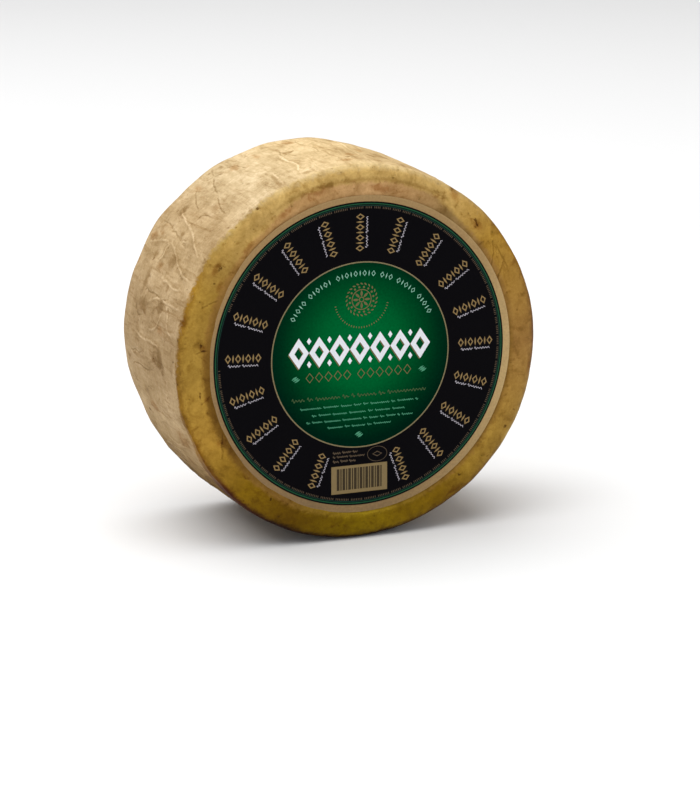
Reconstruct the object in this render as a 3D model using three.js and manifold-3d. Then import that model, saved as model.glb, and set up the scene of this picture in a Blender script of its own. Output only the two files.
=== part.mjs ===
// Cheese wheel standing on its rim, with a round printed label on its front face.
//
// Frame: millimetres, +Z up. The axis of the wheel lies along Y, the label looks towards -Y, and the
// origin is the middle of the small flat on the rim that the wheel stands on.

import * as THREE from 'three';
import { mergeVertices } from 'three/addons/utils/BufferGeometryUtils.js';
import Module from 'manifold-3d';

// ---- driving dimensions -------------------------------------------------------------------------

const WHEEL_DIAMETER = 200;      // across the fullest part of the side
const WHEEL_THICKNESS = 95;      // from flat face to flat face
const SIDE_BULGE = 1.5;          // how much the side swells, on the radius, half way between the faces
const SHOULDER_WIDTH = 8;        // how far the rounded edge reaches in from the side, across the face
const SHOULDER_DEPTH = 5;        // how far the same edge reaches along the side
const FOOT_DEPTH = 0.8;          // how far the rim is pressed flat where the wheel stands

const LABEL_DIAMETER = 168.4;    // the whole paper disc, its pale margin included
const LABEL_THICKNESS = 0.3;     // stout coated paper
const LABEL_GAP = 0.1;           // bed of casein glue between rind and paper

const AROUND = 96;               // facets round the wheel and the label
const SHOULDER_STEPS = 6;        // facets over each rounded edge
const SIDE_STEPS = 8;            // facets along the side

const wheelRadius = WHEEL_DIAMETER / 2;
const halfThickness = WHEEL_THICKNESS / 2;
const axisHeight = wheelRadius - FOOT_DEPTH;

// ---- the profile that is turned to make the wheel -----------------------------------------------

// Radius of the side at a distance y from the middle of the wheel: a shallow parabola.
function sideRadius(y) {
  const reach = halfThickness - SHOULDER_DEPTH;
  return wheelRadius - SIDE_BULGE * (y / reach) ** 2;
}

// Half of the profile, from the centre of the back face out to the start of the side.
function shoulderPoints() {
  const edgeRadius = wheelRadius - SIDE_BULGE;
  const points = [];
  for (let i = 0; i <= SHOULDER_STEPS; i += 1) {
    const angle = (Math.PI / 2) * (i / SHOULDER_STEPS);
    const radius = edgeRadius - SHOULDER_WIDTH * (1 - Math.sin(angle));
    const y = halfThickness - SHOULDER_DEPTH * (1 - Math.cos(angle));
    points.push(new THREE.Vector2(radius, y));
  }
  return points;
}

// The whole profile, from the centre of the front face over the side to the centre of the back face.
function wheelProfile() {
  const back = shoulderPoints();
  const front = back.map((p) => new THREE.Vector2(p.x, -p.y));
  const reach = halfThickness - SHOULDER_DEPTH;
  const side = [];
  for (let i = 1; i < SIDE_STEPS; i += 1) {
    const y = -reach + (2 * reach * i) / SIDE_STEPS;
    side.push(new THREE.Vector2(sideRadius(y), y));
  }
  const frontCentre = new THREE.Vector2(0, -halfThickness);
  const backCentre = new THREE.Vector2(0, halfThickness);
  return [frontCentre, ...front, ...side, ...back.reverse(), backCentre];
}

// ---- joining and cutting ------------------------------------------------------------------------

const wasm = await Module();
wasm.setup();

// A closed three.js geometry as a solid that can be cut.
function toSolid(geometry) {
  const bare = geometry.clone();
  bare.deleteAttribute('normal');
  bare.deleteAttribute('uv');
  const merged = mergeVertices(bare, 1e-4);
  const vertProperties = new Float32Array(merged.attributes.position.array);
  const triVerts = new Uint32Array(merged.index.array);
  return new wasm.Manifold(new wasm.Mesh({ numProp: 3, vertProperties, triVerts }));
}

// A solid back as a three.js geometry.
function toGeometry(solid) {
  const mesh = solid.getMesh();
  const geometry = new THREE.BufferGeometry();
  geometry.setAttribute('position', new THREE.BufferAttribute(mesh.vertProperties, 3));
  geometry.setIndex(new THREE.BufferAttribute(mesh.triVerts, 1));
  geometry.computeVertexNormals();
  return geometry;
}

// ---- the wheel ----------------------------------------------------------------------------------

function makeWheel() {
  const turned = new THREE.LatheGeometry(wheelProfile(), AROUND);
  turned.translate(0, 0, axisHeight);

  // The slab below the ground plane is cut away, which leaves the flat that the wheel stands on.
  const slabDepth = 20;
  const slab = new THREE.BoxGeometry(2 * WHEEL_DIAMETER, 2 * WHEEL_THICKNESS, slabDepth);
  slab.translate(0, 0, -slabDepth / 2);

  const geometry = toGeometry(toSolid(turned).subtract(toSolid(slab)));
  const rind = new THREE.MeshStandardMaterial({ color: 0xb59a62, roughness: 0.6, metalness: 0 });
  const mesh = new THREE.Mesh(geometry, rind);
  mesh.name = 'cheese_wheel';
  return mesh;
}

// ---- the label ----------------------------------------------------------------------------------

function makeLabel() {
  const radius = LABEL_DIAMETER / 2;
  const inner = -halfThickness - LABEL_GAP;
  const outer = inner - LABEL_THICKNESS;
  const profile = [
    new THREE.Vector2(0, outer),
    new THREE.Vector2(radius, outer),
    new THREE.Vector2(radius, inner),
    new THREE.Vector2(0, inner),
  ];
  const geometry = new THREE.LatheGeometry(profile, AROUND);
  geometry.translate(0, 0, axisHeight);
  const paper = new THREE.MeshStandardMaterial({ color: 0x0b0a0c, roughness: 0.45, metalness: 0 });
  const mesh = new THREE.Mesh(geometry, paper);
  mesh.name = 'face_label';
  return mesh;
}

const group = new THREE.Group();
group.name = 'cheese_wheel_part';
group.add(makeWheel());
group.add(makeLabel());

export default group;
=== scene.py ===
# %% [markdown]
# # A whole cured cheese, standing on its rim
#
# The object is a pressed wheel of cured cheese, 200 mm across and 95 mm thick. Its side is pale and
# wrinkled by the cloth it was pressed in, its rounded edge and its faces are waxy and ochre, and a round
# printed label is glued to the front face. This lesson builds it in Blender around a simple solid model
# that already has the right size and place. All lengths are in metres unless a name ends in `_mm`.

# %% Load the solid model and read its size
import functools
import math

import bpy
import numpy as np
from mathutils import Matrix, Vector


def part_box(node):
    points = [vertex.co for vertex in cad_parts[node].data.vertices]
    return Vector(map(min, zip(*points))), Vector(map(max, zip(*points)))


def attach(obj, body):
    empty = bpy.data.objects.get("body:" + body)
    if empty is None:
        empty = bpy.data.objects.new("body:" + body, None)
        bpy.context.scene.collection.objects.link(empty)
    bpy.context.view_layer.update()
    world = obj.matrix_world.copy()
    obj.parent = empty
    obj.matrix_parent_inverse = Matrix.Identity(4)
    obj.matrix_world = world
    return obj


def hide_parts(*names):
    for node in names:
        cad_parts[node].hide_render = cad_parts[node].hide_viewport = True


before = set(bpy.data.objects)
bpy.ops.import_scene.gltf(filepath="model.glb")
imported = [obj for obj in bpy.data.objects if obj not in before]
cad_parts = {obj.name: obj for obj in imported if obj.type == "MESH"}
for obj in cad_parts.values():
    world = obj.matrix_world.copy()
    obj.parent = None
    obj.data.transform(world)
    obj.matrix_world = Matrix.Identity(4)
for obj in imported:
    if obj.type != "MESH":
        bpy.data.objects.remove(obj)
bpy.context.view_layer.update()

wheel_low, wheel_high = (np.array(corner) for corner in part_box("cheese_wheel"))
label_low, label_high = (np.array(corner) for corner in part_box("face_label"))

MM = 0.001
WHEEL_RADIUS = (wheel_high[0] - wheel_low[0]) / 2
HALF_THICKNESS = (wheel_high[1] - wheel_low[1]) / 2
AXIS_HEIGHT = wheel_high[2] - WHEEL_RADIUS
LABEL_RADIUS = (label_high[0] - label_low[0]) / 2
LABEL_FRONT = label_low[1]
print("wheel radius", WHEEL_RADIUS, "half thickness", HALF_THICKNESS, "axis height", AXIS_HEIGHT)
print("label radius", LABEL_RADIUS, "label front at y", LABEL_FRONT)

# %% [markdown]
# ## The camera
#
# The wheel is seen from its left and from a little above, through a long lens, so that the label stays
# almost round and the left and top of the side show. The camera is made first because everything else is
# judged through it. It aims a little below and to the right of the wheel's middle, which leaves the wheel
# high in the frame.

# %% Camera
camera_azimuth = math.radians(-21.03)
camera_elevation = math.radians(13.22)
camera_distance = 1.5436
aim_right = 0.0119
aim_up = -0.0343

wheel_middle = Vector((0.0, 0.0, AXIS_HEIGHT))
towards_camera = Vector((
    math.sin(camera_azimuth) * math.cos(camera_elevation),
    -math.cos(camera_azimuth) * math.cos(camera_elevation),
    math.sin(camera_elevation),
))
camera_right = Vector((math.cos(camera_azimuth), math.sin(camera_azimuth), 0.0))
camera_up = towards_camera.cross(camera_right)
aim = wheel_middle + camera_right * aim_right + camera_up * aim_up

camera_data = bpy.data.cameras.new("camera")
camera_data.sensor_fit = "HORIZONTAL"
camera_data.sensor_width = 36.0
camera_data.lens = 149.8
camera = bpy.data.objects.new("camera", camera_data)
bpy.context.collection.objects.link(camera)
camera.location = wheel_middle + towards_camera * camera_distance
camera.rotation_euler = (aim - camera.location).to_track_quat("-Z", "Y").to_euler()
bpy.context.scene.camera = camera
print("camera at", tuple(round(v, 3) for v in camera.location), "lens", camera_data.lens)

# %% [markdown]
# ## Colours and nodes
#
# Colours are written as the hex values a designer would pick on a screen, so one function turns them into
# the linear values a renderer needs. One other small function adds a shader node with its settings and
# its links, which keeps each material readable from top to bottom.

# %% Helpers for materials
def linear(hex_colour):
    """sRGB hex to linear RGBA: divide by 12.92 in the darks, else raise ((c + 0.055) / 1.055) to 2.4."""
    srgb = np.array([int(hex_colour[i:i + 2], 16) for i in (0, 2, 4)]) / 255
    rgb = np.where(srgb <= 0.04045, srgb / 12.92, ((srgb + 0.055) / 1.055) ** 2.4)
    return (*rgb.tolist(), 1.0)


def node(material, kind, inputs=None, output=None, stops=None, **settings):
    """Adds the node ShaderNode<kind> and returns the output of that name, or its first one in use.

    inputs maps a socket's name or number to a value, or to the output that feeds it. stops are the
    (position, hex colour) stops of a Color Ramp, and settings are the node's own settings.
    """
    tree = material.node_tree
    made = tree.nodes.new("ShaderNode" + kind)
    for name, value in settings.items():
        setattr(made, name, value)
    for name, value in (inputs or {}).items():
        if isinstance(value, bpy.types.NodeSocket):
            tree.links.new(value, made.inputs[name])
        else:
            made.inputs[name].default_value = value
    for number, (position, colour) in enumerate(stops or []):
        ramp = made.color_ramp.elements
        stop = ramp[number] if number < len(ramp) else ramp.new(position)
        stop.position = position
        stop.color = linear(colour)
    in_use = [socket for socket in made.outputs if socket.enabled]
    return made.outputs[output] if output else in_use[0] if in_use else None


# Settings that many nodes share: a soft ramp, a product of colours and a blend of colours.
SMOOTH = {"interpolation_type": "SMOOTHSTEP"}
TIMES = {"data_type": "RGBA", "blend_type": "MULTIPLY"}
BLEND = {"data_type": "RGBA"}


def empty_material(name):
    """A node material with nothing in it yet."""
    material = bpy.data.materials.new(name)
    material.use_nodes = True
    material.node_tree.nodes.clear()
    return material


# %% [markdown]
# ## Studio floor and light
#
# A plain pale floor, a pale room and soft lamps, as in a product studio. Most of the light comes from one
# very wide softbox overhead, a little to the left, so that the top of the wheel is the brightest part, the
# side falls off gently towards the floor, and the label is lit without glare. A weak lamp in front fills
# the shadows. The room is brightest low down, where its walls would be, and fades to the tone of the far
# floor at the horizon, so that no hard line shows behind the wheel.

# %% Floor, room and lamps
def flat_square(name, half_size, height):
    """A square sheet: x and y run from minus to plus half_size, z is height."""
    mesh = bpy.data.meshes.new(name)
    corners = [(-half_size, -half_size, height), (half_size, -half_size, height),
               (half_size, half_size, height), (-half_size, half_size, height)]
    mesh.from_pydata(corners, [], [(0, 1, 2, 3)])
    square = bpy.data.objects.new(name, mesh)
    bpy.context.collection.objects.link(square)
    return square


floor = flat_square("studio_floor", 30.0, 0.0)
floor_paint = empty_material("matt_studio_paper")
floor_shader = node(floor_paint, "BsdfPrincipled", {
    "Base Color": linear("E2E2E2"), "Roughness": 0.9, "Specular IOR Level": 0.0,
})
node(floor_paint, "OutputMaterial", {"Surface": floor_shader})
floor.data.materials.append(floor_paint)

world = bpy.data.worlds.new("pale_room")
world.use_nodes = True
world.node_tree.nodes.clear()
direction = node(world, "TexCoord", output="Generated")
direction = node(world, "SeparateXYZ", {"Vector": direction}, output="Z")
brightness = node(world, "MapRange", {"Value": direction, "From Min": 0.05, "From Max": 0.40,
                                      "To Min": 0.72, "To Max": 0.44})
horizon = node(world, "MapRange", {"Value": direction, "From Min": 0.0, "From Max": 0.09,
                                   "To Min": 0.50}, **SMOOTH)
brightness = node(world, "Math", {0: brightness, 1: horizon}, operation="MULTIPLY")
sky = node(world, "Background", {"Color": linear("FFFFFF"), "Strength": brightness})
node(world, "OutputWorld", {"Surface": sky})
bpy.context.scene.world = world
bpy.context.scene.view_settings.view_transform = "Standard"


def soft_lamp(name, place, size, watts):
    """A square lamp at place that faces the middle of the wheel."""
    data = bpy.data.lights.new(name, "AREA")
    data.size = size
    data.energy = watts
    lamp = bpy.data.objects.new(name, data)
    bpy.context.collection.objects.link(lamp)
    lamp.location = place
    lamp.rotation_euler = (wheel_middle - lamp.location).to_track_quat("-Z", "Y").to_euler()
    return lamp


soft_lamp("overhead_softbox", (-0.7, 0.1, 3.0), 4.2, 160)
soft_lamp("front_softbox", (0.9, -1.3, 0.9), 0.9, 2.4)

# %% [markdown]
# ## Smooth random numbers
#
# A natural surface needs lumps that are random but smooth. Random values are put on the corners of a grid
# of boxes, and every point takes the blend of the eight corners around it. The same seed always gives the
# same lumps.

# %% Smooth noise in space
def smooth_noise(points_mm, size_mm, seed):
    """Value noise from -1 to 1: random numbers on a grid of size_mm, blended with 3t^2 - 2t^3 between."""
    cells = 64
    values = np.random.default_rng(seed).uniform(-1, 1, (cells, cells, cells))
    place = np.asarray(points_mm) / size_mm + 0.37 * cells
    corner = np.floor(place).astype(int)
    t = place - corner
    t = t * t * (3 - 2 * t)
    total = 0.0
    for dx in (0, 1):
        for dy in (0, 1):
            for dz in (0, 1):
                weight = (
                    (t[..., 0] if dx else 1 - t[..., 0])
                    * (t[..., 1] if dy else 1 - t[..., 1])
                    * (t[..., 2] if dz else 1 - t[..., 2])
                )
                total = total + weight * values[
                    (corner[..., 0] + dx) % cells,
                    (corner[..., 1] + dy) % cells,
                    (corner[..., 2] + dz) % cells,
                ]
    return total


def rise(x, start, end):
    """0 before start, 1 after end, and 3t^2 - 2t^3 between."""
    t = np.clip((x - start) / (end - start), 0, 1)
    return t * t * (3 - 2 * t)


# %% [markdown]
# ## The profile of the wheel
#
# The wheel is a turned shape: one profile runs from the middle of the front face, out over the rounded
# edge, along the side and back to the middle of the back face. Every row of the mesh is one point of that
# profile. Rows are close together where the rind shows its wrinkles and wide apart under the label.
# `across` is the distance along the profile from the middle of the side, in millimetres, negative
# towards the label, so it says how far a point is from the edge whatever the shape does.

# %% Profile rows
SHOULDER_WIDTH_MM = 8.0
SHOULDER_DEPTH_MM = 5.0
SIDE_BULGE_MM = 1.5
radius_mm = WHEEL_RADIUS / MM
half_mm = HALF_THICKNESS / MM
edge_radius_mm = radius_mm - SIDE_BULGE_MM
face_radius_mm = edge_radius_mm - SHOULDER_WIDTH_MM
side_half_mm = half_mm - SHOULDER_DEPTH_MM


def profile_rows():
    """Radius and y of each row: face, quarter ellipse, parabola side, quarter ellipse, face."""
    under_label, label_edge = [14, 30, 46, 62, 74], np.arange(81.8, 84.7, 0.4)
    front_face = np.concatenate([under_label, label_edge, np.linspace(85.4, face_radius_mm, 6)[:-1]])
    turn = np.linspace(0, np.pi / 2, 13)
    shoulder_r = edge_radius_mm - SHOULDER_WIDTH_MM * (1 - np.sin(turn))
    shoulder_y = half_mm - SHOULDER_DEPTH_MM * (1 - np.cos(turn))
    side_y = np.linspace(-side_half_mm, side_half_mm, 80)[1:-1]
    side_r = radius_mm - SIDE_BULGE_MM * (side_y / side_half_mm) ** 2
    back_face = np.concatenate([np.linspace(face_radius_mm, 40, 38)[1:], [36, 31, 25, 18, 9]])
    r = np.concatenate([front_face, shoulder_r, side_r, shoulder_r[::-1], back_face])
    y = np.concatenate([
        np.full(len(front_face), -half_mm), -shoulder_y, side_y, shoulder_y[::-1],
        np.full(len(back_face), half_mm),
    ])
    return r, y


row_r, row_y = profile_rows()
step = np.hypot(np.diff(row_r), np.diff(row_y))
across_row = np.concatenate([[0], np.cumsum(step)])
on_side = row_r > edge_radius_mm
across_row -= np.interp(0, row_y[on_side], across_row[on_side])
slope_r, slope_y = np.gradient(row_r, across_row), np.gradient(row_y, across_row)
normal_r_row, normal_y_row = slope_y, -slope_r

COLUMNS = 560
turn_angle = np.arange(COLUMNS) * 2 * np.pi / COLUMNS
ROWS = len(row_r)
across, angle = np.meshgrid(across_row, turn_angle, indexing="ij")
degrees = np.degrees(angle)
base_mm = np.stack([
    row_r[:, None] * np.cos(angle), row_y[:, None] + 0 * angle, row_r[:, None] * np.sin(angle)
], axis=-1)
outward = np.stack([
    normal_r_row[:, None] * np.cos(angle), normal_y_row[:, None] + 0 * angle,
    normal_r_row[:, None] * np.sin(angle)
], axis=-1)
print("profile rows", ROWS, "columns", COLUMNS, "across from", across_row[0], "to", across_row[-1])

# %% [markdown]
# ## Creases left by the cloth
#
# Before pressing, the curd is wrapped in cloth, and each fold of the cloth prints a line into the side.
# Most run from face to face, and some stand proud and stay pale, with painted shade beside them, while
# others are sunk and drawn darker.
# A crease is drawn here by a few points, (degrees round the wheel, millimetres across), with 90 degrees at
# the top and 180 on the side nearest the camera. The curve is rounded, and every point of the surface gets
# its signed distance to the nearest crease. A signed distance blends exactly between two mesh points, so
# the material can draw a line much finer than the mesh.

# %% Crease curves
RAISED_CREASES = [
    [(136, 26), (138.5, 13), (140, -3), (142.5, -19), (145, -27), (146.5, -36)],
    [(112, -18), (112.8, -29), (113.2, -40)],
    [(150, 40), (147.5, 20), (147, 4), (148.5, -5), (151, -14), (152.5, -23), (153, -30), (154, -41)],
    [(154, 12), (152, 7.5), (149.5, 9), (147, 5.5)],
    [(166, 8), (164, -3), (162.5, -9), (162.5, -21), (162.8, -33), (163, -41)],
    [(165, -20), (169, -16), (172, -12), (173, -2)],
    [(163, -23), (167, -30), (170, -29), (171, -38)],
    [(158, -6), (157, -16), (158.5, -25), (157, -36)],
    [(176, 20), (177, 4), (175.5, -9), (177, -20)],
    [(104, 10), (105, -6), (104, -22), (106, -31)],
    [(84, 30), (83, 12), (85, -6), (84, -22)],
]
SUNK_CREASES = [
    [(119.8, 43), (125, 17), (127, 4), (129, -9), (131, -20), (131.2, -27)],
    [(128, 34), (130.5, 23), (133, 12), (134.2, 4)],
    [(137, -4), (135, -3), (133.8, -10), (134.5, -19)],
    [(125, 33), (122.8, 29), (120, 23)],
    [(102, 19), (103.5, 3), (101, 7), (98, 11)],
    [(118.5, 29), (115, 25), (114, 10)],
    [(191, 43), (192, 36), (192.5, 23)],
    [(143.5, 14), (144.5, -4), (143.8, -12)],
    [(93, 36), (94.5, 22), (92, 6), (94, -8)],
    [(168, 24), (171, 19), (170, 8)],
    [(36.5, -51), (30.5, -58), (27, -62)],
    [(35, -51), (29.5, -52), (25.5, -52)],
    [(30, -50), (26, -57), (22, -60)],
    [(213, -53.5), (209, -57), (204.5, -60.5)],
    [(175, -53.5), (174, -57), (173.5, -60)],
    [(192, -54), (191, -57), (189.5, -60)],
    [(160, -51), (157, -55), (155, -59)],
]


def random_creases(count, first_degree, last_degree, seed):
    """Short curves along the side at random places: five points each, wandering a few degrees."""
    rng = np.random.default_rng(seed)
    curves = []
    for _ in range(count):
        start = rng.uniform(first_degree, last_degree)
        top = rng.uniform(-4, 38)
        length = rng.uniform(12, top + 38)
        wander = np.cumsum(rng.uniform(-1.6, 1.6, 5))
        curves.append([(start + w, top - length * i / 4) for i, w in enumerate(wander)])
    return curves


RAISED_CREASES += random_creases(17, 200, 430, 11)
SUNK_CREASES += random_creases(15, 210, 430, 23) + random_creases(4, 140, 200, 5)


def rounded(curve):
    """Cuts the corners of a curve three times: each pair of points gives points at 1/4 and 3/4."""
    points = np.array(curve, float)
    for _ in range(3):
        a, b = points[:-1], points[1:]
        middle = np.stack([0.75 * a + 0.25 * b, 0.25 * a + 0.75 * b], axis=1).reshape(-1, 2)
        points = np.concatenate([points[:1], middle, points[-1:]])
    return points


def nearest_crease(curves, wobble_seed):
    """Signed distance in mm to the nearest curve, and that curve's strength, which fades at its ends."""
    shift_u = 0.5 * smooth_noise(base_mm, 6.0, wobble_seed)
    shift_u += 0.9 * smooth_noise(base_mm, 14.0, wobble_seed + 1)
    shift_v = 0.5 * smooth_noise(base_mm, 6.0, wobble_seed + 2)
    around = np.maximum(row_r, 60)[:, None]
    best = np.full(across.shape, 99.0)
    signed = np.full(across.shape, 4.0)
    strength = np.zeros(across.shape)
    for curve in curves:
        points = rounded(curve)
        total = len(points) - 1
        turned = (degrees - points[:, 0].mean() + 180) % 360 - 180
        near = (np.abs(turned) < np.ptp(points[:, 0]) / 2 + 8) & (across < points[:, 1].max() + 6)
        near &= across > points[:, 1].min() - 6
        rows, columns = np.nonzero(near)
        u = np.radians(turned[near]) * around[rows, 0] + shift_u[near]
        v = across[near] + shift_v[near]
        curve_u = np.radians(points[:, 0] - points[:, 0].mean())
        found, side, along = best[near], signed[near], strength[near]
        for i in range(total):
            au, bu = curve_u[i] * around[rows, 0], curve_u[i + 1] * around[rows, 0]
            av, bv = points[i, 1], points[i + 1, 1]
            du, dv = bu - au, bv - av
            t = np.clip(((u - au) * du + (v - av) * dv) / (du * du + dv * dv + 1e-9), 0, 1)
            distance = np.hypot(u - au - t * du, v - av - t * dv)
            turn_side = np.sign(du * (v - av) - dv * (u - au))
            closer = distance < found
            found = np.where(closer, distance, found)
            side = np.where(closer, distance * turn_side, side)
            part = (i + t) / total
            along = np.where(closer, rise(part, 0, 0.22) * rise(1 - part, 0, 0.22), along)
        best[near], signed[near], strength[near] = found, side, along
    strength *= rise(-best, -3.2, -2.2)
    return np.clip(signed, -4, 4), strength


raised_distance, raised_strength = nearest_crease(RAISED_CREASES, 101)
sunk_distance, sunk_strength = nearest_crease(SUNK_CREASES, 151)
print("creases:", len(RAISED_CREASES), "raised,", len(SUNK_CREASES), "sunk")

# %% [markdown]
# ## Relief of the rind
#
# The rest of the relief is a sum of simple parts, each in millimetres along the outward direction: a few
# broad bulges and flats that leave the wheel a little out of round, slow lumps from handling and turning,
# finer folds that run from face to face, streaks that run round the wheel, a thin lip where the side of the
# mould met its lid, and pits where small bubbles opened. Under the label the face stays flat, and the rim
# stays flat where the wheel stands. At the lower left the rind has crept over the edge of the label.

# %% Relief in millimetres
def pits(count, seed, widest, lowest_across, highest_across):
    """Sum of small round bowls at random places: depth times exp(-(distance / width)^2)."""
    rng = np.random.default_rng(seed)
    sunk = np.zeros(across.shape)
    for _ in range(count):
        at_across = rng.uniform(lowest_across, highest_across)
        row = int(np.argmin(np.abs(across_row - at_across)))
        column = rng.integers(COLUMNS)
        width = rng.uniform(0.5, 1.0) * widest
        low, high = max(row - 6, 0), min(row + 7, ROWS)
        columns = (column + np.arange(-6, 7)) % COLUMNS
        patch = np.ix_(np.arange(low, high), columns)
        distance = np.linalg.norm(base_mm[patch] - base_mm[row, column], axis=-1)
        sunk[patch] += rng.uniform(0.4, 1.0) * np.exp(-(distance / width) ** 2)
    return np.clip(sunk, 0, 1)


# Each bulge or flat is (degrees, height in mm, half width in degrees).
OUT_OF_ROUND = [(-28, 1.3, 22), (16, 0.7, 9), (68, -0.4, 6), (87, 0.4, 5), (110, -0.7, 7), (131, -0.7, 7),
                (143, 1.1, 7), (165, 1.1, 10), (179, 0.4, 5), (203, -1.1, 6)]
on_rind = rise(across, -57.5, -54.0)
on_side_only = rise(46 - np.abs(across), 0, 5)
near_foot = rise(-np.abs(degrees - 270), -26, -10) * on_side_only

lumps = (0.75 * smooth_noise(base_mm, 42, 1) + 0.42 * smooth_noise(base_mm, 21, 2)
         + 0.20 * smooth_noise(base_mm, 10, 3) + 0.10 * smooth_noise(base_mm, 4.5, 4))
folds = (0.16 * smooth_noise(base_mm * (1, 0.16, 1), 6.5, 5)
         + 0.07 * smooth_noise(base_mm * (1, 0.2, 1), 3.2, 6))
streaks = 0.10 * smooth_noise(base_mm * (0.1, 1, 0.1), 2.6, 7)
lip = 0.34 * np.exp(-((np.abs(across) - 43.6 - 0.5 * smooth_noise(base_mm, 12, 8)) / 0.9) ** 2)
lip *= 0.55 + 0.65 * smooth_noise(base_mm, 18, 9)
pit_mask = np.maximum(pits(200, 31, 1.2, -56, 56), pits(50, 33, 2.0, -44, 44))
pit_mask = np.maximum(pit_mask, pits(240, 35, 1.4, 53, 98))

bulges = sum(
    height * np.exp(-(((degrees - place + 180) % 360 - 180) / half_width) ** 2)
    for place, height, half_width in OUT_OF_ROUND
)
lip_degrees = [100, 130, 150, 165, 210, 225, 240, 258, 285]
lip_radius_mm = [85.6, 83.6, 82.7, 82.1, 82.1, 82.6, 83.1, 83.7, 85.6]
past_lip = row_r[:, None] - np.interp(degrees, lip_degrees, lip_radius_mm)
past_lip += 0.3 * smooth_noise(base_mm, 6, 12)
over_label = rise(past_lip, -0.5, 0.4) * rise(-row_r, -89.5, -84.6)[:, None] * (across < -50)

relief_mm = (
    lumps
    + bulges
    + (folds + streaks) * on_side_only
    + lip
    + 0.26 * raised_strength * np.exp(-(raised_distance / 1.1) ** 2)
    - 0.28 * sunk_strength * np.exp(-(sunk_distance / 0.9) ** 2)
    - 0.45 * pit_mask
)
relief_mm *= on_rind * (1 - 0.85 * near_foot)
relief_mm += 0.64 * over_label * (1 + 0.1 * smooth_noise(base_mm, 5, 10))
print("relief in mm: lowest", relief_mm.min().round(2), "highest", relief_mm.max().round(2))

# %% [markdown]
# ## The rind as one mesh
#
# Rows and columns become one closed skin: quads between the rows, and a fan of triangles at the middle of
# each face. The skin is pushed out by the relief and pressed flat where it would go below the table.
# Each mesh point also carries the plain facts that the material paints from, such as how far it is from
# the ochre edge. A UV map is made for baking: two strips for the side and a round patch for each
# face, so that every part of the rind gets the same number of texels.

# %% Skin helper
def closed_skin(name, grid, first_pole, last_pole):
    """A closed surface from a grid of (rows, columns, 3): the columns wrap round and the poles close it."""
    rows, columns = grid.shape[:2]
    points = np.concatenate([grid.reshape(-1, 3), [first_pole], [last_pole]])
    index = np.arange(rows * columns).reshape(rows, columns)
    beside = np.roll(index, -1, axis=1)
    quads = np.stack([index[:-1], index[1:], beside[1:], beside[:-1]], axis=-1).reshape(-1, 4)
    first = np.stack([np.full(columns, len(points) - 2), index[0], beside[0]], axis=-1)
    last = np.stack([np.full(columns, len(points) - 1), beside[-1], index[-1]], axis=-1)
    mesh = bpy.data.meshes.new(name)
    mesh.from_pydata(points.tolist(), [], quads.tolist() + first.tolist() + last.tolist())
    mesh.polygons.foreach_set("use_smooth", np.ones(len(mesh.polygons), bool))
    made = bpy.data.objects.new(name, mesh)
    bpy.context.collection.objects.link(made)
    return made


def inside_volume(mesh):
    """Volume of a closed mesh, positive when its faces point outwards: sum of a . (b x c) / 6."""
    mesh.calc_loop_triangles()
    corners = np.empty(len(mesh.loop_triangles) * 3, int)
    mesh.loop_triangles.foreach_get("vertices", corners)
    points = np.empty(len(mesh.vertices) * 3)
    mesh.vertices.foreach_get("co", points)
    a, b, c = points.reshape(-1, 3)[corners].reshape(-1, 3, 3).transpose(1, 0, 2)
    return float(np.einsum("ij,ij->", a, np.cross(b, c)) / 6)


def paint_fact(mesh, name, values, at_poles):
    """Stores one number for each mesh point, and at_poles for both poles, for the material to read."""
    layer = mesh.attributes.new(name, "FLOAT", "POINT")
    layer.data.foreach_set("value", np.append(values.ravel(), [at_poles] * 2).astype(np.float32))


# %% Build the rind
skin = (base_mm + outward * relief_mm[..., None]) * MM
skin[..., 2] = np.maximum(skin[..., 2] + AXIS_HEIGHT, 0.0)
poles = [(0, -HALF_THICKNESS, AXIS_HEIGHT), (0, HALF_THICKNESS, AXIS_HEIGHT)]
rind = closed_skin("pressed_rind", skin, *poles)
print("rind volume in litres", round(inside_volume(rind.data) * 1000, 3), "faces", len(rind.data.polygons))
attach(rind, "root")
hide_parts("cheese_wheel")

# %% Colours round the wheel
# The rind is paler on top, greyer on its left and darker towards the bottom. Part of this is the rind's own
# colour and part is painted light and shade, above all painted shade low down and a near-black painted
# shadow on the ochre edge at the foot. A few colours are given and named once, and each list places a few
# of them by degrees round the wheel. The ochre part has three lists: one for its outer edge next to the
# pale side, one for the shoulder and one for the faces.
RIND_PALETTE = {
    "cream": "CCB285", "chalk": "C4AD86", "sand": "C5AB79", "biscuit": "BFA476", "dusty": "B19770",
    "clay": "A28863", "drab": "8C6F42", "damp_and_shade": "785B2B", "straw": "B99D66", "pale_wax": "BC9A5A",
    "toast": "B58D5C", "sallow": "AC904F", "wax": "A98132", "deep_wax": "9F7C33", "nut": "98713A",
    "mustard": "987D14", "honey": "8F6718", "cinnamon": "87632A", "olive": "846A04", "moss": "80600A",
    "bark": "74521A", "umber": "6E4518", "dark_moss": "654803", "burnt_and_shade": "4C2003", "foot_shadow": "260A02",
}
SIDE_COLOURS = [(30, "biscuit"), (75, "biscuit"), (95, "cream"), (118, "chalk"), (136, "dusty"),
                (150, "dusty"), (166, "clay"), (186, "clay"), (200, "dusty"), (225, "damp_and_shade"),
                (270, "damp_and_shade"), (320, "drab")]
OCHRE_COLOURS = [(0, "nut"), (38, "wax"), (62, "pale_wax"), (125, "pale_wax"), (155, "deep_wax"),
                 (182, "deep_wax"), (205, "wax"), (226, "moss"), (245, "dark_moss"), (270, "olive"),
                 (300, "moss"), (326, "deep_wax")]
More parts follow.
